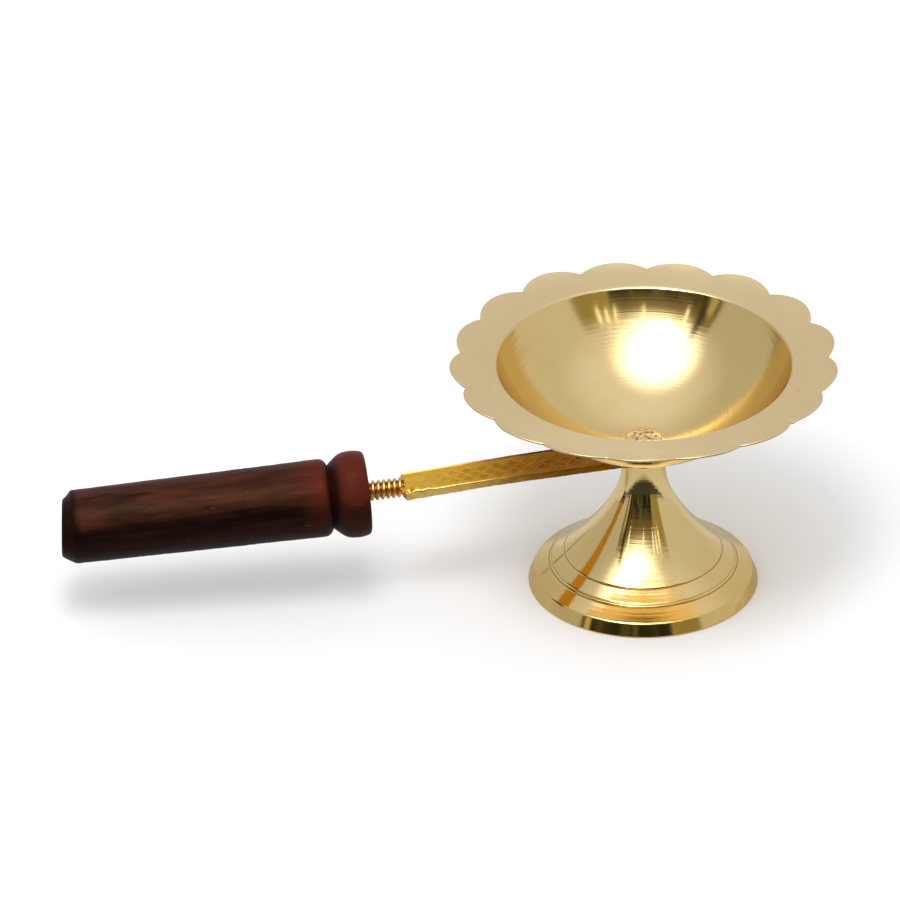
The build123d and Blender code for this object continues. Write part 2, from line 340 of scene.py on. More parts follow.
def mesh_piece(name, points, faces, **values):
    """A mesh object at the origin from points and quads, with a named number or vector on each point.
    Doubled points are welded, so that seams and poles close, and the faces turn outwards if the volume
    they enclose comes out negative."""
    points = points.reshape(-1, 3)
    a, b, c, d = (points[faces[:, k]] for k in range(4))
    volume = np.einsum("ij,ij", a, np.cross(b, c)) + np.einsum("ij,ij", a, np.cross(c, d))
    if volume < 0:
        faces = faces[:, ::-1]
    mesh = bpy.data.meshes.new(name)
    mesh.vertices.add(len(points))
    mesh.vertices.foreach_set("co", points.astype(np.float32).ravel())
    mesh.loops.add(faces.size)
    mesh.loops.foreach_set("vertex_index", faces.astype(np.int32).ravel())
    mesh.polygons.add(len(faces))
    mesh.polygons.foreach_set("loop_start", np.arange(0, faces.size, 4, dtype=np.int32))
    mesh.update(calc_edges=True)
    for label, value in values.items():
        vector = value.size == points.size
        layer = mesh.attributes.new(label, "FLOAT_VECTOR" if vector else "FLOAT", "POINT")
        layer.data.foreach_set("vector" if vector else "value", value.astype(np.float32).ravel())
    welded = bmesh.new()
    welded.from_mesh(mesh)
    bmesh.ops.remove_doubles(welded, verts=welded.verts, dist=weld_distance)
    welded.to_mesh(mesh)
    welded.free()
    mesh.polygons.foreach_set("use_smooth", np.ones(len(mesh.polygons), dtype=bool))
    mesh.validate()
    piece = bpy.data.objects.new(name, mesh)
    bpy.context.scene.collection.objects.link(piece)
    return piece


def dress(piece, body, node, material):
    """The piece stands for a node of the frame, moves with its body and wears the material."""
    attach(piece, body)
    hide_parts(node)
    piece.data.materials.append(material)


def on_handle(start, distance, side, up):
    """Points at a distance along the handle's axis from start, and off it sideways and upwards."""
    off_axis = side[..., None] * handle_side + up[..., None] * handle_up
    return start + distance[..., None] * handle_way + off_axis


# Bowl

def scallop_outline(angle):
    """Rim radius at an angle. Each scallop is an arc of a circle whose centre lies at a distance d from
    the axis: radius = d cos(a) + sqrt(s^2 - d^2 sin^2(a)), with a counted from the scallop's tip. Each
    tip stands out a little more or less."""
    step = 2 * math.pi / scallop_count
    turned = angle - math.pi - scallop_turn
    number = np.floor(turned / step + 1e-6).astype(int) % scallop_count
    from_tip = turned % step - step / 2
    valley_reach = rim_valley_radius * math.cos(step / 2)
    d = (rim_tip_radius**2 - rim_valley_radius**2) / (2 * (rim_tip_radius - valley_reach))
    s = rim_tip_radius - d
    plain = d * np.cos(from_tip) + np.sqrt(s**2 - (d * np.sin(from_tip))**2)
    uneven = np.random.default_rng(5).normal(0, scallop_unevenness, scallop_count)
    return plain + uneven[number] * (plain - rim_valley_radius) / (rim_tip_radius - rim_valley_radius)


def near_angle(angle, centre, reach):
    """A bell of height 1 round the axis: exp(-(turn from the centre / reach)^2)."""
    turn = (angle - centre + math.pi) % (2 * math.pi) - math.pi
    return np.exp(-(turn / reach)**2)


def bowl_shell():
    """The bowl's closed profile, turned about Z: a spherical cap inside, a flat rim, a concentric
    sphere outside and a boss with the bolt's hole. A third column gives the share of the scallops'
    outline that each point takes, 0 in the bowl and 1 at the rim's edge, and the scallops lift with a
    power of that share. On one side they are shallower and lift more, and one small burr stands out."""
    floor = rim_top - bowl_depth
    sphere = (opening_radius**2 + bowl_depth**2) / (2 * bowl_depth)
    centre = floor + sphere
    outside = sphere + bowl_wall
    under = rim_top - rim_thickness

    def sphere_run(first, last, radius, count):
        """Points on the sphere between two distances from the axis, evenly spaced in angle."""
        angle = np.linspace(math.asin(first / radius), math.asin(last / radius), count)
        return np.stack([radius * np.sin(angle), centre - radius * np.cos(angle), 0 * angle], 1)

    land = sphere_run(head_land_radius, head_land_radius, sphere, 1)[0]
    under_radius = math.sqrt(outside**2 - (centre - under)**2)
    outside_run = sphere_run(under_radius, boss_radius, outside, 34)
    lip = (opening_radius, rim_top, 0)
    edge_top = (rim_valley_radius, rim_top, 1)
    edge_bottom = (rim_valley_radius, under, 1)
    junction = (under_radius, under, 0)
    boss_corner = (boss_radius, boss_base, 0)
    profile = join(
        run((bolt_hole_radius, boss_base, 0), (bolt_hole_radius, land[1], 0), 3),
        run((bolt_hole_radius, land[1], 0), land, 4),
        sphere_run(head_land_radius, opening_radius, sphere, 60),
        run(lip, edge_top, 14),
        run(edge_top, edge_bottom, 4),
        run(edge_bottom, junction, 8),
        outside_run,
        run(outside_run[-1], boss_corner, 3),
        run(boss_corner, (bolt_hole_radius, boss_base, 0), 3),
    )
    for corner, reach in ((lip, lip_round), (edge_top, rim_edge_round), (edge_bottom, rim_edge_round),
                          (junction, rim_root_round), (outside_run[-1], boss_top_round),
                          (boss_corner, boss_edge_round)):
        profile = ease(profile, corner, reach)
    columns = scallop_count * points_per_scallop
    angle = math.pi + scallop_turn + 2 * math.pi * np.arange(columns) / columns
    flat_side = near_angle(angle, flat_side_angle, flat_side_reach)
    scallops = (scallop_outline(angle) - rim_valley_radius) * (1 + flat_side * (flat_side_depth - 1))
    extra = scallops + flat_side * flat_side_growth
    burr = burr_length * near_angle(angle, burr_angle, burr_width)
    share = profile[:, 2:3]
    radius = profile[:, 0:1] + share * extra + share**burr_power * burr
    lift_here = scallop_lift + flat_side * (flat_side_lift - scallop_lift)
    lift = lift_here * share**scallop_lift_power * scallops / (rim_tip_radius - rim_valley_radius)
    height = profile[:, 1:2] + lift
    points = np.stack([radius * np.cos(angle), radius * np.sin(angle), height], -1)
    along = np.broadcast_to(lengths(profile)[:, None], radius.shape)
    satin = smooth_step(opening_radius - satin_before_lip, opening_radius + satin_past_lip, radius)
    return mesh_piece("bowl_shell", points, quads(*radius.shape, True, True), along=along, satin=satin)


# Foot

def foot_turning():
    """The foot's closed profile, turned about Z: a straight neck, one large arc flaring to a bevelled
    base, three incised lines, and a hollow below that follows the flare at the wall's thickness. A line
    sinks the surface by depth exp(-(distance / width)^2)."""
    top = np.array([neck_radius, neck_top - neck_length])
    edge = np.array([foot_edge_radius, foot_edge_height])
    flare = arc_between(top, edge, flare_radius, 420)
    tangent = np.gradient(flare, axis=0)
    inward = np.stack([tangent[:, 1], -tangent[:, 0]], 1) / np.hypot(*tangent.T)[:, None]
    line = sum(share * np.exp(-((flare[:, 0] - radius) / groove_width)**2)
               for radius, share in zip(groove_radii, groove_shares))
    chord = edge - top
    rise = math.sqrt(flare_radius**2 - chord @ chord / 4)
    centre = (top + edge) / 2 + np.array([-chord[1], chord[0]]) / np.hypot(*chord) * rise

    def inside(radius):
        """Point of the hollow's wall at a distance from the axis."""
        height = centre[1] - math.sqrt((flare_radius + foot_wall)**2 - (centre[0] - radius)**2)
        return (radius, height, 0)

    def plain(points):
        """The points with a third column of no incised line."""
        return np.column_stack([points, np.zeros(len(points))])

    ring_radius = foot_radius - base_ring_width
    neck_corner, base_corner = (neck_radius, neck_top, 0), (foot_radius, 0.0, 0)
    hole_top, ring_inner = (bolt_hole_radius, neck_top, 0), (ring_radius, 0, 0)
    seat = inside(washer_seat_radius)
    ring_top = inside(ring_radius)
    hollow = arc_between(ring_top[:2], seat[:2], -(flare_radius + foot_wall), 60)
    profile = join(
        run((bolt_hole_radius, seat[1], 0), hole_top, 4),
        run(hole_top, neck_corner, 4),
        run(neck_corner, (*top, 0), 12),
        np.column_stack([flare + inward * line[:, None] * groove_depth, line]),
        run((*edge, 0), base_corner, 14),
        run(base_corner, ring_inner, 4),
        run(ring_inner, ring_top, 4),
        plain(hollow),
        run(seat, (bolt_hole_radius, seat[1], 0), 4),
    )
    for corner, reach in ((neck_corner, neck_round), (top, flare_top_round), (edge, foot_edge_round),
                          (base_corner, base_edge_round), (ring_inner, base_ring_round),
                          (ring_top, hollow_edge_round), (seat, washer_seat_round)):
        profile = ease(profile, corner, reach)
    columns = 184
    angle = 2 * math.pi * np.arange(columns) / columns
    radius = np.repeat(profile[:, 0:1], columns, 1)
    height = np.broadcast_to(profile[:, 1:2], radius.shape)
    rim_edge = smooth_step(foot_radius - nick_reach, foot_radius, radius) * (height > nick_low)
    radius = radius - nick_depth * rim_edge * near_angle(angle, nick_angle, nick_width)
    points = np.stack([radius * np.cos(angle), radius * np.sin(angle), height], -1)
    along = np.broadcast_to(lengths(profile)[:, None], radius.shape)
    incised = np.broadcast_to(profile[:, 2:3], radius.shape)
    return mesh_piece("foot_turning", points, quads(*radius.shape, True, True), along=along, incised=incised)


# Bolt

def bolt_with_hammered_head():
    """Profile turned about Z: threaded end, plain shank, and a low head. The thread is a blunt tooth of the
    phase height / pitch - angle / turn. Round hammer blows dent the head's top: depth times the sum of
    their hills, at most 1."""
    sphere = (opening_radius**2 + bowl_depth**2) / (2 * bowl_depth)
    head_base = rim_top - bowl_depth + sphere - math.sqrt(sphere**2 - head_land_radius**2)
    head_edge = bolt_high.z - bolt_head_crown
    core = bolt_shank_radius - bolt_thread_depth
    thread_top = washer_high.z + bolt_thread_runout
    crown = arc_between((bolt_head_radius, head_edge), (0, bolt_high.z),
                        (bolt_head_radius**2 + bolt_head_crown**2) / (2 * bolt_head_crown), 46)
    thread = run((core, bolt_low.z), (core, thread_top), 130)
    profile = join(
        run((0, bolt_low.z), (core, bolt_low.z), 4),
        thread,
        run((bolt_shank_radius, thread_top), (bolt_shank_radius, head_base), 4),
        run((bolt_shank_radius, head_base), (bolt_head_radius, head_base), 4),
        run((bolt_head_radius, head_base), (bolt_head_radius, head_edge), 8),
        crown,
    )
    profile = ease(profile, (bolt_head_radius, head_edge), bolt_head_round, 10)
    columns = 144
    angle = 2 * math.pi * np.arange(columns) / columns
    radius = np.repeat(profile[:, 0:1], columns, 1)
    height = np.repeat(profile[:, 1:2], columns, 1)
    threaded = smooth_step(bolt_low.z, bolt_low.z + bolt_pitch, height)
    threaded = threaded * (height < thread_top - 1e-6) * (radius > core - 1e-6)
    phase = (height / bolt_pitch - angle / (2 * math.pi)) % 1
    radius = radius + threaded * bolt_thread_depth * thread_tooth(phase, *bolt_tooth)
    x, y = radius * np.cos(angle), radius * np.sin(angle)
    on_top = smooth_step(head_edge - bolt_crown_start[0], head_edge + bolt_crown_start[1], height)
    beaten_from, beaten_to = (share * bolt_head_radius for share in bolt_beaten_shares)
    inside = on_top * (1 - smooth_step(beaten_from, beaten_to, radius))
    share, turn, force = np.random.default_rng(3).uniform(0, 1, (3, bolt_blow_count))
    reach = bolt_blow_share * bolt_head_radius * np.sqrt(share)
    blows = np.stack([reach * np.cos(2 * math.pi * turn), reach * np.sin(2 * math.pi * turn)], 1)
    dents = sum((0.4 + 0.6 * f) * lump(x, y, blow, bolt_blow_size) for f, blow in zip(force, blows))
    sunk = inside * np.clip(dents, 0, 1)
    height = height - bolt_blow_depth * sunk
    points = np.stack([x, y, height], -1)
    return mesh_piece("bolt_hammered", points, quads(*radius.shape, False, True), hammered=sunk)


# Arm

def arm_half_width(x):
    """Half the arm's width along -X: the eye's half circle, a straight run, an arc that draws in to
    the waist, then a straight taper to the outer end."""
    reach = -x
    drop = arm_eye_radius - arm_waist_half
    run_in = arm_waist_reach - arm_straight_reach
    bend = (run_in**2 + drop**2) / (2 * drop)
    eye = np.sqrt(np.clip(arm_eye_radius**2 - np.clip(x, 0, None)**2, 0, None))
    drawn = arm_eye_radius - bend + np.sqrt(bend**2 - np.clip(reach - arm_straight_reach, 0, run_in)**2)
    taper = np.interp(reach, (arm_waist_reach, -stud_base[0]), (arm_waist_half, arm_end_half))
    return np.where(x > 0, eye, np.where(reach < arm_waist_reach, drawn, taper))


def lattice_pocket(x, y):
    """How deep, 0..1, a point of the arm's top lies in the lattice's lozenge pockets. Lozenges stand on
    the whole numbers of p = u + v and q = u - v, with u along the arm in pitches and v across it in
    double rows; a pocket is flat inside and climbs to the ridges half-way between two whole numbers."""
    u = (-x - clamp_reach - lattice_inner_margin) / lattice_pitch - 0.5
    v = (y + lattice_shift) / (2 * lattice_row)
    p, q = u + v, u - v
    row = np.round(p) - np.round(q)
    column = (np.round(p) + np.round(q)) / 2
    last = (-stud_base[0] - clamp_reach - lattice_inner_margin - lattice_outer_margin) / lattice_pitch - 0.5
    off_centre = np.maximum(np.abs(p - np.round(p)), np.abs(q - np.round(q)))
    half_pitch = lattice_pitch / 2
    inradius = half_pitch * lattice_row / math.hypot(half_pitch, lattice_row)
    wall = 0.5 * (1 - lattice_ridge / 2 / inradius)
    pocket = 1 - smooth_step(wall - lattice_slope[0], wall + lattice_slope[1], off_centre)
    worn = 1 - lattice_wear * smooth_step(*lattice_worn_reach, -x)
    return pocket * worn * (np.abs(row) <= 1) * (column >= 0) * (column <= last)


def arm_casting():
    """The arm as two mirrored halves. Each half is a loop round its section, from the bolt's hole or the
    middle line over the top, down the side and back below, carried along X and bent down outside the
    clamp. Cast skin bumps roughen every face, more at the outer end, the lattice sinks into the top, the
    far top edge is bevelled, a lump of braze sits on the near outer corner, and the end tapers to the
    stud."""
    eye_steps = arm_eye_radius * np.cos(np.linspace(0, math.pi / 2, 26))
    hole_steps = bolt_hole_radius * np.cos(np.linspace(0, math.pi, 25))
    bar = run((-bolt_hole_radius,), (stud_base[0],), 420)[:, 0]
    x = np.unique(np.concatenate([eye_steps, hole_steps, bar]))[::-1]
    half = arm_half_width(x)
    inner = np.sqrt(np.clip(bolt_hole_radius**2 - x**2, 0, None))
    end_half_thick = arm_end_thickness / 2 * handle_up[2]
    bent = (-clamp_reach, stud_base[0])
    bow = arm_bow * np.sin(math.pi * np.interp(-x, np.negative(bent), (0, 1)))
    top = bow + np.interp(-x, np.negative(bent), (boss_base, stud_base[2] + end_half_thick))
    base = bow + np.interp(-x, np.negative(bent), (neck_top, stud_base[2] - end_half_thick))
    across, down = 34, 8
    share = np.linspace(0, 1, across)
    corner = np.linspace(0, math.pi / 2, 6)[1:-1]
    round_in = np.minimum(arm_edge_round, half * 0.5)[:, None]
    inside_y, half_y = inner[:, None], half[:, None]
    flat_y = inside_y + (half_y - round_in - inside_y).clip(0) * share
    turn_y = half_y - round_in + round_in * np.sin(corner)
    turn_z = round_in * (1 - np.cos(corner))
    top_z, base_z = top[:, None], base[:, None]
    side_z = top_z - round_in + (base_z - top_z + 2 * round_in) * np.linspace(0, 1, down)
    y = np.hstack([flat_y, turn_y, np.broadcast_to(half_y, side_z.shape), turn_y[:, ::-1], flat_y[:, ::-1]])
    z = np.hstack([np.broadcast_to(top_z, flat_y.shape), top_z - turn_z, side_z,
                   base_z + turn_z[:, ::-1], np.broadcast_to(base_z, flat_y.shape)])
    columns = y.shape[1]
    xs = np.broadcast_to(x[:, None], y.shape)
    free = smooth_step(boss_radius, boss_radius + clamp_fade, np.hypot(xs, y))
    number = np.arange(columns)
    on_top = (number < across + 3).astype(float)
    on_base = (number >= columns - across - 3).astype(float)
    on_side = ((number >= across - 1) & (number <= columns - across)).astype(float)
    arm_reach = -stud_base[0]
    end_near = smooth_step(arm_reach - arm_rough_end[0], arm_reach - arm_rough_end[1], -xs)
    squared = smooth_step(arm_reach - arm_square_end, arm_reach, -xs)
    middle = (top_z + base_z) / 2
    blocks, faces, sunk, rubbed, first = [], [], [], [], 0
    for side in (1, -1):
        true_y = side * y
        skin_height = arm_skin_height + arm_skin_height_at_end * end_near
        skin = skin_height * bumps(xs, true_y + z, arm_skin_grain, 11)
        skin = skin + arm_fine_skin_height * bumps(xs, true_y - z, arm_fine_skin_grain, 12)
        uneven = 1 - lattice_unevenness * (1 - bumps(xs, true_y, lattice_grain, 13))
        pocket = lattice_pocket(xs, true_y) * on_top * uneven
        bevel = arm_bevel * smooth_step(half_y - arm_bevel_width, half_y, true_y) * on_top
        braze = sum(height * lump(xs / MM, true_y / MM, (along, off), size)
                    for along, off, size, height in braze_lumps_mm)
        above = skin + braze * MM - lattice_depth * pocket - bevel
        high = z + free * (on_top * above - on_base * skin)
        wide = y + free * on_side * skin * arm_skin_share_on_sides
        long = xs + (middle - z) * squared * handle_up[0] / handle_up[2] * -1
        block = np.stack([long, side * wide, high], -1)
        rows = quads(len(x), columns, False, True)
        row, column = np.divmod(np.arange(len(rows)), columns)
        in_hole = (np.abs(x[row]) <= bolt_hole_radius) & (np.abs(x[row + 1]) <= bolt_hole_radius)
        rows = rows[(column < columns - 1) | in_hole]
        ring = block[-1]
        cap = np.stack([stud_base + (ring - stud_base) * size + handle_way * reach * MM
                        for size, reach in arm_end_steps])
        cap_rows = quads(len(cap), columns, False, False, block[..., 0].size)
        both = np.concatenate([rows, cap_rows])
        faces.append((both if side > 0 else both[:, ::-1]) + first)
        blocks += [block.reshape(-1, 3), cap.reshape(-1, 3)]
        # Darker in the lattice's pockets, and painted shade on the underside.
        sunk += [np.maximum(pocket, on_base).ravel(), np.zeros(cap[..., 0].size)]
        # Painted light: the arm's sides and end are brighter.
        sides = np.broadcast_to(on_side * (1 - on_base), y.shape)
        rubbed += [sides.ravel(), np.full(cap[..., 0].size, arm_end_light)]
        first += block[..., 0].size + cap[..., 0].size
    return mesh_piece("arm_casting", np.concatenate(blocks), np.concatenate(faces),
                      sunk=np.concatenate(sunk), rubbed=np.concatenate(rubbed))


# Stud

def stud_thread():
    """A helical surface about the handle's axis: radius = core + depth times a blunt tooth of the phase
    distance / pitch - angle / turn, fading out at the tip."""
    core = stud_radius - stud_thread_depth
    along = np.linspace(0, stud_length, 500)
    columns = 96
    angle = 2 * math.pi * np.arange(columns) / columns
    distance = np.repeat(along[:, None], columns, 1)
    phase = (distance / stud_pitch - angle / (2 * math.pi)) % 1
    tooth = smooth_step(0, 1, thread_tooth(phase, *stud_tooth))
    fade = 1 - smooth_step(stud_length - stud_runout[0], stud_length - stud_runout[1], distance)
    worn = 1 + stud_wear * bumps(distance, angle * stud_radius, stud_wear_grain, 21)
    radius = core + stud_thread_depth * tooth * fade * worn
    radius = radius - stud_tip_drop * smooth_step(stud_length - stud_tip_length, stud_length, distance)
    caps = np.array([0.0, 0.6])[:, None]
    radius = np.vstack([caps * radius[:1], radius, caps[::-1] * radius[-1:]])
    distance = np.vstack([distance[:1], distance[:1], distance, distance[-1:], distance[-1:]])
    crest = np.vstack([tooth[:2], tooth, tooth[-2:]])
    points = on_handle(stud_base, distance, radius * np.cos(angle), radius * np.sin(angle))
    return mesh_piece("stud_thread", points, quads(*radius.shape, False, True), crest=crest)


# Grip

def grip_turning():
    """The grip's profile, distance from its front face against radius, turned about the handle's axis:
    a bead, a groove, a tapered barrel with a bevelled rear end, and the bore. The wood is slightly out
    of round, its outside lies a little low on its bore, and the rear face is sawn out of square: distance =
    length - one slope times the height - another times the sideways place."""
    groove = (bead_length, grip_groove_radius)
    bead_edge = (0, bead_edge_radius)
    flank = (bead_length - bead_flank, bead_flank_radius)
    barrel_front = (bead_length + barrel_round, barrel_front_radius)
    barrel_rear = (grip_length - rear_bevel, barrel_rear_radius)
    rear_edge = (grip_length, rear_face_radius)
    shoulder_chord = np.hypot(barrel_round, barrel_front_radius - grip_groove_radius)
    profile = join(
        run((stud_bore_depth, 0), (stud_bore_depth, stud_bore_radius), 3),
        run((stud_bore_depth, stud_bore_radius), (bush_length, stud_bore_radius), 4),
        run((bush_length, stud_bore_radius), (bush_length, bush_socket_radius), 3),
        run((bush_length, bush_socket_radius), (0, bush_socket_radius), 4),
        run((0, bush_socket_radius), bead_edge, 10),
        arc_through(bead_edge, (bead_crown_reach, bead_radius), flank, 22),
        run(flank, groove, 14),
        arc_between(groove, barrel_front, -shoulder_chord * barrel_shoulder_bend, 16),
        run(barrel_front, barrel_rear, 120),
        run(barrel_rear, rear_edge, 10),
        run(rear_edge, (grip_length, 0), 14),
    )
    for corner, reach in ((bead_edge, bead_edge_round), (flank, bead_flank_round),
                          (groove, grip_groove_round), (barrel_rear, barrel_rear_round),
                          (rear_edge, rear_edge_round)):
        profile = ease(profile, corner, reach, 9)
    columns = 224
    angle = 2 * math.pi * np.arange(columns) / columns
    distance = np.repeat(profile[:, 0:1], columns, 1)
    radius = np.repeat(profile[:, 1:2], columns, 1)
    outside = smooth_step(bush_socket_radius, grip_outside_radius, radius)
    ripple = wood_ripple[0] * bumps(distance, angle * ripple_radius, wood_ripple[1], 31)
    ripple = ripple + chatter_ripple[0] * bumps(distance, 0 * distance, chatter_ripple[1], 32)
    radius = radius + outside * ripple
    side, up = radius * np.cos(angle), radius * np.sin(angle)
    place = np.stack([distance, side, up], -1)
    rear = smooth_step(grip_length - rear_saw_reach, grip_length, distance)
    distance = distance - rear * (rear_slope_up * up + rear_slope_side * side)
    points = on_handle(grip_front, distance, side, up - outside * grip_sag)
    return mesh_piece("grip_turning", points, quads(*radius.shape, False, True), place=place)


# Materials

class Wires:
    """Adds nodes to a tree. Each call joins sockets to a node's inputs or sets them to numbers, and gives
    back one of the node's outputs."""

    def __init__(self, tree):
        self.tree = tree

    def node(self, kind, inputs=None, output=0, **settings):
        node = self.tree.nodes.new(kind)
        for key, value in settings.items():
            setattr(node, key, value)
        for key, value in (inputs or {}).items():
            self.feed(node.inputs[key], value)
        return node.outputs[output]

    def feed(self, socket, value):
        if isinstance(value, bpy.types.NodeSocket):
            self.tree.links.new(value, socket)
        else:
            socket.default_value = value

    def calc(self, operation, *values):
        return self.node("ShaderNodeMath", dict(enumerate(values)), operation=operation)

    def step(self, value, low, high, start=0.0, end=1.0):
        sockets = {"Value": value, "From Min": low, "From Max": high, "To Min": start, "To Max": end}
        return self.node("ShaderNodeMapRange", sockets, interpolation_type="SMOOTHSTEP")

    def blend(self, share, first, second):
        first, second = ((*c, 1) if isinstance(c, tuple) and len(c) == 3 else c for c in (first, second))
        return self.node("ShaderNodeMix", {0: share, 6: first, 7: second}, output=2, data_type="RGBA")

    def noise(self, place, scale, detail=2.0, roughness=0.5, line=False):
        sockets = {"Scale": scale, "Detail": detail, "Roughness": roughness}
        sockets["W" if line else "Vector"] = place
        return self.node("ShaderNodeTexNoise", sockets, noise_dimensions="1D" if line else "3D")

    def bump(self, height, strength, distance):
        return self.node("ShaderNodeBump", {"Height": height, "Strength": strength, "Distance": distance})

    def value(self, name):
        return self.node("ShaderNodeAttribute", output="Fac", attribute_name=name)

    def vector(self, name):
        return self.node("ShaderNodeAttribute", output="Vector", attribute_name=name)

    def place(self):
        return self.node("ShaderNodeTexCoord", output="Object")

    def part(self, vector, axis):
        return self.node("ShaderNodeSeparateXYZ", {"Vector": vector}, output=axis)

    def reach(self, vector, direction):
        sockets = {0: vector, 1: direction}
        return self.node("ShaderNodeVectorMath", sockets, output="Value", operation="DOT_PRODUCT")

    def stretched(self, vector, scale):
        return self.node("ShaderNodeMapping", {"Vector": vector, "Scale": scale})

    def group(self, tree, **inputs):
        node = self.tree.nodes.new("ShaderNodeGroup")
        node.node_tree = tree
        for key, value in inputs.items():
            self.feed(node.inputs[key], value)
        return node.outputs


def new_group(name, inputs, outputs):
    """An empty shader node group with its sockets: the tree, its wires, its input sockets and a
    function that joins sockets to its outputs."""
    tree = bpy.data.node_groups.new(name, "ShaderNodeTree")
    for label, kind in inputs.items():
        tree.interface.new_socket(label, in_out="INPUT", socket_type=kind)
    for label, kind in outputs.items():
        tree.interface.new_socket(label, in_out="OUTPUT", socket_type=kind)
    entry = tree.nodes.new("NodeGroupInput")
    leave = tree.nodes.new("NodeGroupOutput")

    def give(**sockets):
        for label, socket in sockets.items():
            tree.links.new(socket, leave.inputs[label])

    return tree, Wires(tree), entry.outputs, give


FLOAT, VECTOR = "NodeSocketFloat", "NodeSocketVector"


def new_material(name):
    """A material with only its surface shader: the material, its wires and the shader's inputs."""
    material = bpy.data.materials.new(name)
    material.use_nodes = True
    shader = material.node_tree.nodes["Principled BSDF"]
    return material, Wires(material.node_tree), shader.inputs


def lathe_lines():
    """Turning marks: uneven heights along a turned profile, the same all round but deeper in the given
    patches, and uneven tones in broader rings."""
    tree, wire, take, give = new_group("lathe_lines", {"Along": FLOAT, "Patches": FLOAT},
                                       {"Height": FLOAT, "Rings": FLOAT})
    fine = wire.noise(take["Along"], 3600.0, 1.0, 0.6, line=True)
    broad = wire.noise(take["Along"], 1100.0, 2.0, 0.6, line=True)
    lines = wire.calc("MULTIPLY_ADD", broad, 2.2, fine)
    give(Height=wire.calc("MULTIPLY", lines, wire.step(take["Patches"], 0.0, 1.0, 0.45, 1.0)),
         Rings=wire.step(wire.noise(take["Along"], 420.0, 3.0, 0.6, line=True), 0.35, 0.65))
    return tree


def tarnish():
    """Soft uneven patches and fine specks, as handling and air leave them on brass."""
    tree, wire, take, give = new_group("tarnish", {"Place": VECTOR}, {"Mask": FLOAT, "Specks": FLOAT})
    wide = wire.noise(take["Place"], 55.0, 4.0, 0.55)
    specks = wire.noise(take["Place"], 900.0, 1.0, 0.5)
    give(Mask=wire.step(wide, 0.42, 0.68), Specks=wire.step(specks, 0.74, 0.80))
    return tree


lathe_group = lathe_lines()
tarnish_group = tarnish()

# Colours, roughness and depths of the finishes
brass_satin = (0.86, 0.675, 0.37)
brass_bright = (0.86, 0.65, 0.285)
brass_deep = (0.79, 0.54, 0.185)
brass_incised = (0.40, 0.26, 0.08)
brass_beaten = (0.16, 0.10, 0.03)
cast_dull = (0.66, 0.37, 0.030)
cast_fair = (0.80, 0.47, 0.042)
# Darker tone for the lattice's pockets, and painted shade on the arm's underside.
cast_pocket_and_underside_shade = (0.46, 0.23, 0.015)
cast_worn = (0.92, 0.60, 0.095)
# Painted light on the arm's sides and end.
cast_rubbed = (1.0, 0.70, 0.24)
# Painted shade: the arm's brown under and near the bowl.
cast_shade_under_bowl = (0.32, 0.14, 0.005)
stud_root = (0.36, 0.17, 0.04)
stud_crest = (0.82, 0.52, 0.17)
steel_dull = (0.52, 0.51, 0.48)
steel_fair = (0.70, 0.69, 0.66)
wood_dark = (0.024, 0.0060, 0.0034)
wood_fair = (0.054, 0.0150, 0.0078)
wood_red = (0.098, 0.012, 0.007)
wood_black = (0.004, 0.0018, 0.0015)
# Darkens the grip's rear end, and paints shade in the groove by the bead.
wood_dark_end_and_groove_shade = (0.004, 0.0012, 0.0010)
# Painted shade: the grip's underside turns nearly black.
wood_underside_shade = (0.005, 0.0010, 0.0010)
wood_scratch = (0.12, 0.03, 0.02)
lacquer_tint = (1.0, 0.56, 0.30, 1)
lathe_mark_height = 0.04 * MM
lathe_brushing = 0.4
bowl_roughness, rim_roughness, foot_roughness = 0.115, 0.34, 0.10
beaten_roughness = (0.15, 0.32)      # bright edge, beaten top
cast_roughness = (0.5, 0.36)         # dull skin, worn ridges
stud_roughness = 0.3
steel_roughness = (0.25, 0.42)
wood_roughness = (0.48, 0.38)
lacquer_shine = 0.1
skin_mark_height = 0.2 * MM


def turned_brass(name, finish):
    """Polished brass off the lathe: lines round the axis spread its reflections along the profile. The
    bowl turns satin on its rim; the foot is deeper in tone at its base and dark in its incised lines."""
    material, wire, shader = new_material(name)
    stain = wire.group(tarnish_group, Place=wire.place())
    marks = wire.group(lathe_group, Along=wire.value("along"), Patches=stain["Mask"])
    colour = wire.blend(wire.calc("MULTIPLY", stain["Mask"], 0.35), brass_bright, brass_deep)
    wire.feed(shader["Metallic"], 1.0)
    wire.feed(shader["Anisotropic"], lathe_brushing)
    wire.feed(shader["Anisotropic Rotation"], 0.25)
    wire.feed(shader["Tangent"], wire.node("ShaderNodeTangent", direction_type="RADIAL", axis="Z"))
    if finish == "bowl":
        satin = wire.value("satin")
        faded = wire.blend(wire.calc("MULTIPLY", marks["Rings"], 0.12), brass_satin, brass_deep)
        faded = wire.blend(wire.calc("MULTIPLY", stain["Specks"], 0.3), faded, brass_incised)
        colour = wire.blend(satin, colour, faded)
        polish = wire.step(satin, 0.0, 1.0, bowl_roughness, rim_roughness)
        wire.feed(shader["Roughness"], wire.calc("MULTIPLY_ADD", stain["Mask"], 0.05, polish))
        height = wire.calc("MULTIPLY", marks["Height"], wire.step(satin, 0.0, 1.0, 0.75, 1.0))
        wire.feed(shader["Normal"], wire.bump(height, 0.5, lathe_mark_height))
    else:
        incised = wire.value("incised")
        height = wire.part(wire.place(), "Z")
        colour = wire.blend(wire.step(height, 3 * MM, 9 * MM, 0.6, 0.0), colour, brass_deep)
        colour = wire.blend(wire.step(incised, 0.2, 0.8), colour, brass_incised)
        wire.feed(shader["Roughness"], wire.calc("MULTIPLY_ADD", stain["Mask"], 0.04, foot_roughness))
        wire.feed(shader["Normal"], wire.bump(marks["Height"], 0.35, lathe_mark_height))
    wire.feed(shader["Base Color"], colour)
    return material


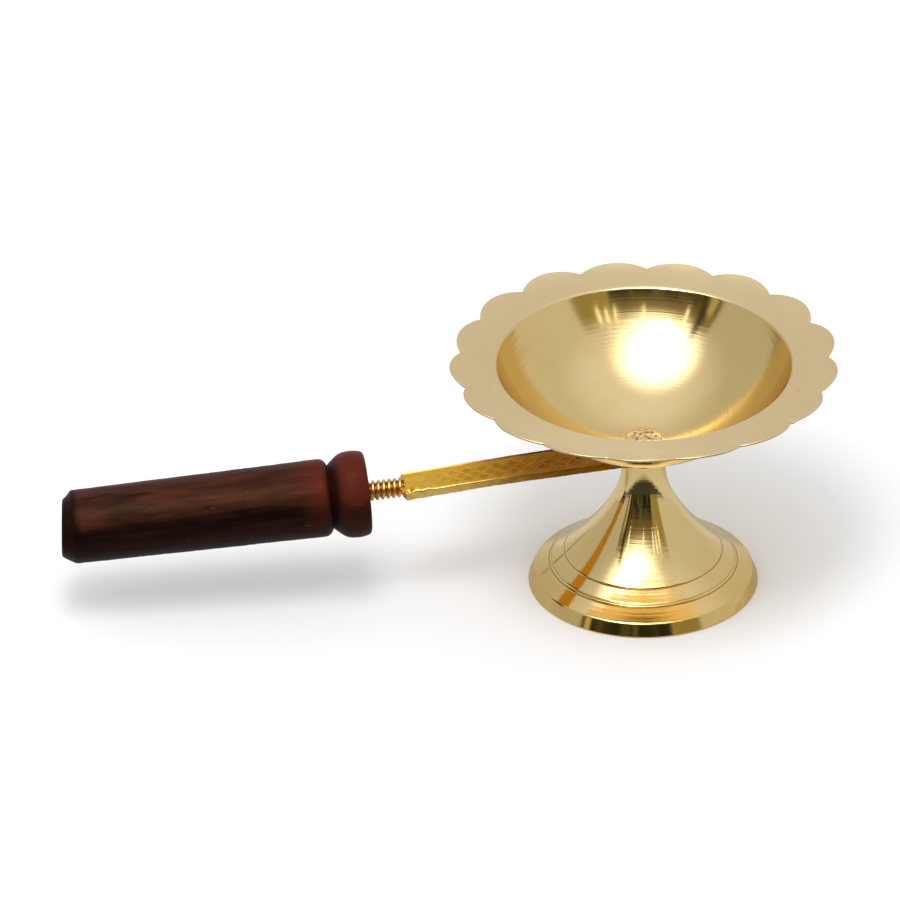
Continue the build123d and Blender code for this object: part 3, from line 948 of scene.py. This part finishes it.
def hammered_brass():
    """The bolt: brass with a bright edge and a rough, darker beaten top."""
    material, wire, shader = new_material("bolt_brass")
    hammered = wire.value("hammered")
    grain = wire.noise(wire.place(), 1500.0, 2.0)
    beaten = wire.calc("MULTIPLY", hammered, wire.step(grain, 0.35, 0.6, 0.6, 1.0))
    wire.feed(shader["Metallic"], 1.0)
    wire.feed(shader["Base Color"], wire.blend(beaten, brass_satin, brass_beaten))
    wire.feed(shader["Roughness"], wire.step(hammered, 0.0, 1.0, *beaten_roughness))
    wire.feed(shader["Normal"], wire.bump(grain, wire.calc("MULTIPLY", hammered, 0.4), skin_mark_height))
    return material


def cast_brass_skin():
    """The arm: dull cast brass, brighter on the worn ridges, with painted light on its sides and end,
    darker in the lattice's pockets, with painted shade below, and a browner painted shade towards the
    bowl, where the bowl shades it."""
    material, wire, shader = new_material("cast_brass")
    place = wire.place()
    sunk = wire.value("sunk")
    along = wire.part(place, "X")
    broad = wire.noise(place, 260.0, 3.0, 0.6)
    grain = wire.noise(place, 1400.0, 3.0, 0.65)
    worn = wire.step(wire.calc("SUBTRACT", grain, wire.calc("MULTIPLY", sunk, 0.4)), 0.36, 0.66)
    # Painted shade: the arm turns browner towards the bowl, in the bowl's shadow.
    clear_of_bowl_shade = wire.step(wire.calc("MULTIPLY_ADD", broad, 20 * MM, along), -45 * MM, -12 * MM, 1.0, 0.0)
    colour = wire.blend(wire.step(broad, 0.3, 0.7), cast_dull, cast_fair)
    # Darker in the lattice's pockets, and painted shade on the underside.
    colour = wire.blend(wire.calc("MULTIPLY", sunk, 0.5), colour, cast_pocket_and_underside_shade)
    colour = wire.blend(wire.calc("MULTIPLY", worn, 0.5), colour, cast_worn)
    # Painted light: brighter on the sides and the end.
    colour = wire.blend(wire.calc("MULTIPLY", wire.value("rubbed"), 0.75), colour, cast_rubbed)
    colour = wire.blend(clear_of_bowl_shade, cast_shade_under_bowl, colour)
    wire.feed(shader["Base Color"], colour)
    wire.feed(shader["Metallic"], 1.0)
    wire.feed(shader["Roughness"], wire.step(worn, 0.0, 1.0, *cast_roughness))
    height = wire.calc("MULTIPLY_ADD", broad, 1.5, grain)
    wire.feed(shader["Normal"], wire.bump(height, 0.3, skin_mark_height))
    return material


def stud_metal():
    """The threaded stud and its bush: coppery brass, darker between the crests."""
    material, wire, shader = new_material("stud_brass")
    crest = wire.value("crest")
    grain = wire.noise(wire.place(), 1100.0, 2.0)
    shade = wire.calc("MULTIPLY", wire.step(crest, 0.1, 0.8), wire.step(grain, 0.2, 0.6, 0.7, 1.0))
    wire.feed(shader["Base Color"], wire.blend(shade, stud_root, stud_crest))
    wire.feed(shader["Metallic"], 1.0)
    wire.feed(shader["Roughness"], stud_roughness)
    wire.feed(shader["Normal"], wire.bump(grain, 0.2, skin_mark_height / 2))
    return material


def plated_steel():
    """Washer and nut: plated steel with a light brushing."""
    material, wire, shader = new_material("fastener_steel")
    grain = wire.noise(wire.place(), 900.0, 3.0)
    wire.feed(shader["Base Color"], wire.blend(grain, steel_dull, steel_fair))
    wire.feed(shader["Metallic"], 1.0)
    wire.feed(shader["Roughness"], wire.step(grain, 0.2, 0.8, *steel_roughness))
    return material


def stained_wood_lacquer():
    """The grip: dark maroon stained wood under satin lacquer, with long streaks of blackish stain, more of
    them below as painted shade, redder at the bead and the barrel's front, darker at the rear end, with
    painted shade in the groove and on the underside, and a few pale scratches."""
    material, wire, shader = new_material("stained_wood")
    place = wire.vector("place")
    distance = wire.part(place, "X")
    up = wire.part(place, "Z")
    grain = wire.noise(wire.stretched(place, (60.0, 420.0, 420.0)), 1.0, 4.0, 0.6)
    streak = wire.noise(wire.stretched(place, (28.0, 190.0, 190.0)), 1.0, 3.0, 0.55)
    scratch = wire.noise(wire.stretched(place, (160.0, 900.0, 900.0)), 1.0, 1.0, 0.5)
    # Real stain streaks, with more of them towards the underside as painted shade.
    below = wire.step(up, 1 * MM, 7 * MM, 0.18, 0.0)
    black = wire.step(wire.calc("ADD", streak, below), 0.52, 0.70)
    front = wire.step(distance, bead_length + 2 * MM, bead_length + 12 * MM, 1.0, 0.0)
    rear = wire.step(distance, grip_length - rear_bevel - 2 * MM, grip_length - rear_bevel)
    flank = wire.step(distance, bead_length - 3.5 * MM, bead_length - 1 * MM)
    groove = wire.calc("MULTIPLY", flank, wire.step(distance, bead_length, bead_length + 2 * MM, 1.0, 0.0))
    colour = wire.blend(wire.step(grain, 0.3, 0.7), wood_dark, wood_fair)
    colour = wire.blend(wire.calc("MULTIPLY", front, 0.65), colour, wood_red)
    black = wire.calc("MULTIPLY", black, wire.step(front, 0.0, 1.0, 1.0, 0.3))
    colour = wire.blend(black, colour, wood_black)
    # Darker at the rear end, and painted shade in the groove by the bead.
    rear_dark_and_groove_shade = wire.calc("MAXIMUM", wire.calc("MULTIPLY", rear, 0.9), wire.calc("MULTIPLY", groove, 0.85))
    colour = wire.blend(rear_dark_and_groove_shade, colour, wood_dark_end_and_groove_shade)
    # Painted shade: the underside turns nearly black.
    colour = wire.blend(wire.step(up, -1 * MM, 7.5 * MM, 0.8, 0.0), colour, wood_underside_shade)
    colour = wire.blend(wire.step(scratch, 0.73, 0.78, 0.0, 0.35), colour, wood_scratch)
    wire.feed(shader["Base Color"], colour)
    wire.feed(shader["Roughness"], wire.step(grain, 0.2, 0.8, *wood_roughness))
    wire.feed(shader["Specular IOR Level"], lacquer_shine)
    wire.feed(shader["Specular Tint"], lacquer_tint)
    wire.feed(shader["Normal"], wire.bump(grain, 0.15, skin_mark_height))
    return material


bowl_brass = turned_brass("turned_bowl_brass", "bowl")
foot_brass = turned_brass("turned_foot_brass", "foot")
bolt_brass = hammered_brass()
cast_brass = cast_brass_skin()
stud_brass = stud_metal()
fastener_steel = plated_steel()
stained_wood = stained_wood_lacquer()

dress(bowl_shell(), "stand", "bowl", bowl_brass)
dress(foot_turning(), "stand", "foot", foot_brass)
dress(bolt_with_hammered_head(), "stand", "bowl_bolt", bolt_brass)
dress(arm_casting(), "arm", "handle_arm", cast_brass)
dress(stud_thread(), "arm", "handle_stud", stud_brass)
dress(grip_turning(), "grip", "handle_grip", stained_wood)
# Nodes that keep the frame's own mesh
kept_nodes = {"bolt_washer": fastener_steel, "bolt_nut": fastener_steel, "handle_bush": stud_brass}
for node, material in kept_nodes.items():
    slots = frame["nodes"][node].data.materials
    slots.clear()
    slots.append(material)


# Floor, light and camera

floor_half = 3.0
floor_drop = 0.05 * MM
floor_under_ring = 0.2 * base_ring_width
floor_front_edge = 85 * MM
floor_edge_blur = 2 * MM
floor_pale = (0.88, 0.88, 0.88)
floor_in_brass = (0.57, 0.57, 0.57)
floor_in_brass_twice = (0.97, 0.97, 0.97)
floor_dark = (0.018, 0.018, 0.011)

# Studio: directions as shares, azimuths and elevations in degrees as the camera sees them
soft_box_way = (-0.15, 0.38, 0.91)      # to the right, to the front, up
soft_box_size = (0.34, 0.52)
soft_box_power = 3.2
soft_box_distance = 1.0
glow_strength = 3.2
glow_reach = (0.78, 1.0)
glow_falloff = 2.0
wall_left, wall_right, wall_overhead = 0.53, 0.655, 0.2
overhead_tint = (1.0, 1.03, 1.22)
room_dark, room_light = (0.018, 0.02, 0.012), (0.16, 0.15, 0.085)
room_top = (0.24, 0.19, 0.09)
room_fade = (20.0, 40.0)
plain_light = (0.95, 0.95, 0.95)
nadir = -90.0
room_patch = (-62.0, 29.0, nadir, 40.0, 2.5, 5.0)      # left, right, low, high, soft sides, soft top
wall_patches = (
    ((-54.0, -48.0, nadir, 48.0, 2.0, 4.0), (0.02, 0.02, 0.012)),
    ((-58.0, -53.0, nadir, 30.0, 1.5, 4.0), (0.62, 0.56, 0.30)),
    ((29.0, 57.0, nadir, 40.0, 2.5, 6.0), (0.34, 0.28, 0.12)),
    ((-142.6, -141.4, -6.0, 21.0, 0.4, 0.4), (0.10, 0.09, 0.05)),
)
lamps = ((40.0, 37.0), (33.0, 40.0), (25.0, 40.0), (0.0, 42.0), (-38.0, 38.0))
lamp_half_width, lamp_below, lamp_above = 0.6, 6, 4
lamp_softness = (0.5, 2.0)
lamp_light = (4.0, 3.9, 3.4)


def heading(azimuth):
    """Level direction from the object towards a viewer at an azimuth in degrees."""
    turn = math.radians(azimuth)
    return Vector((math.sin(turn), -math.cos(turn), 0))


def lay_floor():
    """A wide pale plane under the foot, open below its hollow and clear from beneath, which looks dark in
    the brass from its front edge on."""
    corners = [(x * floor_half, y * floor_half, -floor_drop)
               for x, y in ((-1, -1), (1, -1), (1, 1), (-1, 1))]
    mesh = bpy.data.meshes.new("floor")
    mesh.from_pydata(corners, [], [(0, 1, 2, 3)])
    floor = bpy.data.objects.new("floor", mesh)
    bpy.context.scene.collection.objects.link(floor)
    material, wire, shader = new_material("pale_floor")
    ahead = wire.reach(wire.place(), heading(camera_azimuth))
    mirrored = wire.node("ShaderNodeLightPath", output="Is Glossy Ray")
    first = wire.calc("LESS_THAN", wire.node("ShaderNodeLightPath", output="Glossy Depth"), 1.5)
    past_edge = wire.step(ahead, floor_front_edge - floor_edge_blur, floor_front_edge + floor_edge_blur)
    dark = wire.calc("MULTIPLY", first, past_edge)
    reflected = wire.blend(first, floor_in_brass_twice, floor_in_brass)
    reflected = wire.blend(dark, reflected, floor_dark)
    wire.feed(shader["Base Color"], wire.blend(mirrored, floor_pale, reflected))
    wire.feed(shader["Roughness"], 0.9)
    wire.feed(shader["Specular IOR Level"], 0.2)
    below = wire.node("ShaderNodeNewGeometry", output="Backfacing")
    off_axis = wire.node("ShaderNodeVectorMath", {0: wire.place()}, output="Value", operation="LENGTH")
    under_foot = wire.calc("LESS_THAN", off_axis, foot_radius - floor_under_ring)
    wire.feed(shader["Alpha"], wire.calc("SUBTRACT", 1.0, wire.calc("MAXIMUM", below, under_foot)))
    mesh.materials.append(material)


def place_camera():
    """The photograph's view: a long lens far off, looking down at the lamp."""
    towards = heading(camera_azimuth)
    tilt = math.radians(camera_elevation)
    back = towards * math.cos(tilt) + Vector((0, 0, math.sin(tilt)))
    data = bpy.data.cameras.new("camera")
    data.lens = camera_lens
    data.sensor_width = camera_sensor
    data.clip_end = camera_clip_end
    camera = bpy.data.objects.new("camera", data)
    camera.location = camera_target + back * camera_distance
    camera.rotation_euler = back.to_track_quat("Z", "Y").to_euler()
    bpy.context.scene.collection.objects.link(camera)
    bpy.context.scene.camera = camera


def light_studio():
    """Pale walls, dimmer on the left and brighter overhead. In front of the lamp the room is dark, with
    a gap of light at its left, an olive wall at its right and a few small lamps along its top; a thin
    dark post stands far back on the left. A soft box hangs high in front, in a wide glow."""
    world = bpy.data.worlds.new("studio")
    bpy.context.scene.world = world
    world.use_nodes = True
    wire = Wires(world.node_tree)
    front = heading(camera_azimuth)
    side = Vector((-front.y, front.x, 0))
    aim = (soft_box_way[0] * side + soft_box_way[1] * front + Vector((0, 0, soft_box_way[2]))).normalized()
    way = wire.node("ShaderNodeTexCoord", output="Generated")

    towards, right, up = (wire.reach(way, direction) for direction in (front, side, (0, 0, 1)))
    azimuth = wire.calc("DEGREES", wire.calc("ARCTAN2", right, towards))
    elevation = wire.calc("DEGREES", wire.calc("ARCSINE", up))

    def band(angle, low, high, soft):
        rising = wire.step(angle, low - soft, low + soft)
        return wire.calc("MULTIPLY", rising, wire.step(angle, high - soft, high + soft, 1.0, 0.0))

    def patch(left, right_end, low, high, soft, soft_top):
        across = band(azimuth, left, right_end, soft)
        return wire.calc("MULTIPLY", across, band(elevation, low, high, soft_top))

    wall = wire.step(right, -0.9, -0.1, wall_left, wall_right)
    wall = wire.calc("ADD", wall, wire.step(up, 0.55, 0.95, 0.0, wall_overhead))
    glow = wire.calc("POWER", wire.step(wire.reach(way, aim), *glow_reach), glow_falloff)
    wall = wire.calc("MULTIPLY_ADD", glow, glow_strength, wall)
    wall = wire.blend(wire.step(up, 0.5, 0.95), wall, wire.stretched(wall, overhead_tint))
    stripes = wire.node("ShaderNodeCombineXYZ", {"X": azimuth, "Y": wire.calc("MULTIPLY", elevation, 0.3)})
    clutter = wire.noise(stripes, 0.11, 3.0, 0.6)
    room = wire.blend(wire.step(clutter, 0.45, 0.72), room_dark, room_light)
    room = wire.blend(wire.step(elevation, *room_fade), room, room_top)
    shade = wire.blend(patch(*room_patch), wall, room)
    for edges, colour in wall_patches:
        shade = wire.blend(patch(*edges), shade, colour)
    for turn, height in lamps:
        sides = (turn - lamp_half_width, turn + lamp_half_width)
        ends = (height - lamp_below, height + lamp_above)
        shade = wire.blend(patch(*sides, *ends, *lamp_softness), shade, lamp_light)
    scattered = wire.node("ShaderNodeLightPath", output="Is Diffuse Ray")
    seen = wire.node("ShaderNodeLightPath", output="Is Camera Ray")
    shade = wire.blend(wire.calc("MAXIMUM", scattered, seen), shade, plain_light)
    wire.feed(world.node_tree.nodes["Background"].inputs["Color"], shade)

    key = bpy.data.lights.new("soft_box", "AREA")
    key.shape = "ELLIPSE"
    key.size, key.size_y = soft_box_size
    key.energy = soft_box_power
    box = bpy.data.objects.new("soft_box", key)
    box.location = aim * soft_box_distance
    box.rotation_euler = aim.to_track_quat("Z", "Y").to_euler()
    bpy.context.scene.collection.objects.link(box)


lay_floor()
place_camera()
light_studio()
bpy.context.scene.view_settings.view_transform = "Standard"
bpy.context.scene.cycles.glossy_bounces = 8
